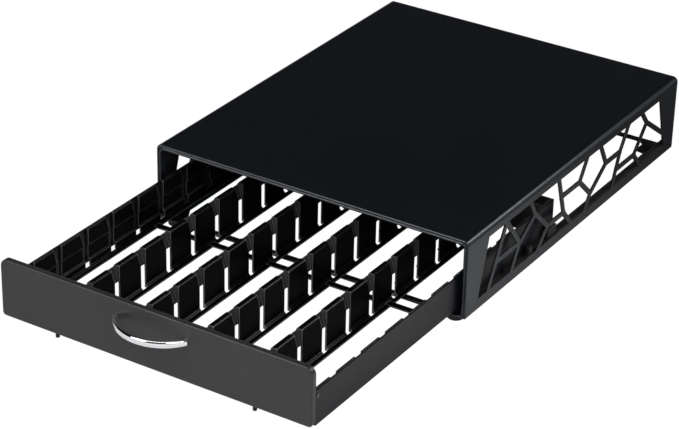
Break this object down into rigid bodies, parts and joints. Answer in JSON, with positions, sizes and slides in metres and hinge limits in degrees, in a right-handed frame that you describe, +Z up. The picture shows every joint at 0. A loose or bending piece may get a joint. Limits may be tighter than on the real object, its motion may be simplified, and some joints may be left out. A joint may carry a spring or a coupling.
{
  "type": "coffee pod drawer",
  "caption": "Low steel casing, pierced at the sides, that a coffee machine stands on, with a drawer whose slotted tray holds coffee pods in rows.",
  "frame": {"origin": "on the table, under the middle of the whole as pictured, with the drawer drawn out", "axes": "+X to the right as seen from the front, +Y to the rear, along the drawer's travel, +Z up"},
  "size_m": [0.25, 0.5022, 0.0628],
  "materials": {
    "casing": "fine satin powder coat, black",
    "steel": "fine satin powder coat, black",
    "tray": "moulded plastic, satin black",
    "rubber": "matt black",
    "guide": "nylon, matt black",
    "chrome": "polished",
    "zinc": "dull zinc plate"
  },
  "bodies": {
    "casing": {"casing_shell": "casing", "foot_front_left": "rubber", "foot_front_right": "rubber", "foot_rear_left": "rubber", "foot_rear_right": "rubber", "foot_rivets": "zinc", "runner_left": "guide", "runner_right": "guide"},
    "drawer": {"drawer_front": "steel", "drawer_side_left": "steel", "drawer_side_right": "steel", "drawer_back": "steel", "tray_front": "tray", "tray_rear": "tray", "row_wall_left": "tray", "row_wall_1": "tray", "row_wall_2": "tray", "row_wall_3": "tray", "row_wall_4": "tray", "row_wall_right": "tray", "mid_rib": "tray", "glide_left": "guide", "glide_right": "guide", "handle_bow": "chrome", "handle_screws": "zinc", "front_pads": "rubber", "side_rivets": "zinc"}
  },
  "joints": [
    {"name": "drawer_slide", "type": "slide", "parent": "casing", "child": "drawer", "axis": [0, -1, 0], "range_m": [-0.1757, 0.022]}
  ]
}
